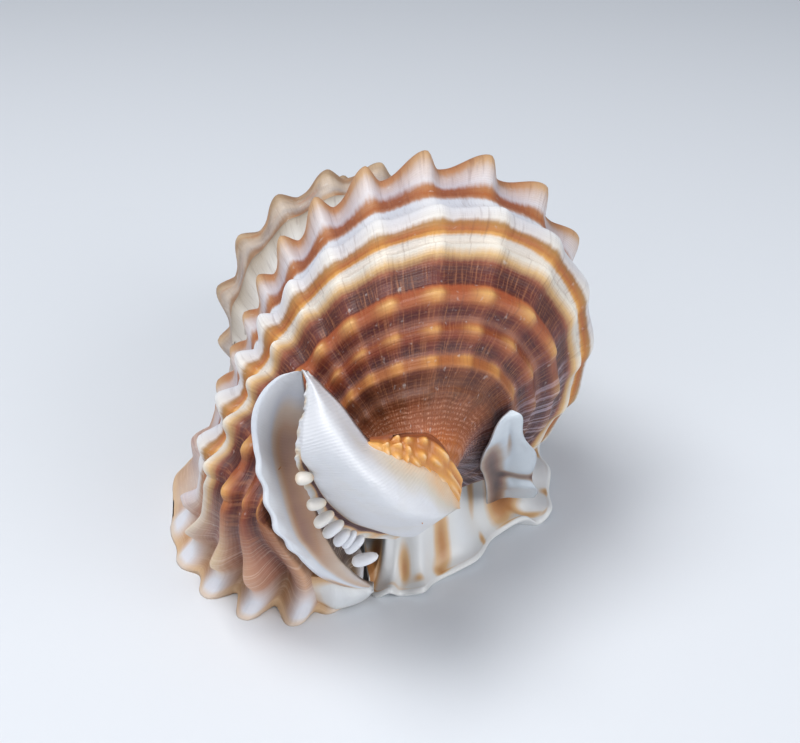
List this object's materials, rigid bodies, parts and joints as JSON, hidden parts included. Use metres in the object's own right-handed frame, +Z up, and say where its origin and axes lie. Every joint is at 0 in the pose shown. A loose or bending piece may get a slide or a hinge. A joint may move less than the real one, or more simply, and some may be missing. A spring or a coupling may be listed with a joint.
{
  "type": "sea snail shell",
  "caption": "Knobbly coiled sea snail shell lying on its open mouth, with spiral cords and ribs, a humped last whorl, a flared lobed lip and an upturned canal.",
  "frame": {"origin": "middle of the bounding box in X and Y, on the ground the shell lies on", "axes": "+Z up, -Y towards the siphonal canal, +Y towards the tip of the spire"},
  "size_m": [0.0371, 0.0663, 0.033],
  "materials": {
    "shell": "matt to satin lime shell, orange-brown with white cords, porcelain-glossy round the canal and the mouth"
  },
  "bodies": {
    "root": {"shell": "shell"}
  },
  "joints": []
}
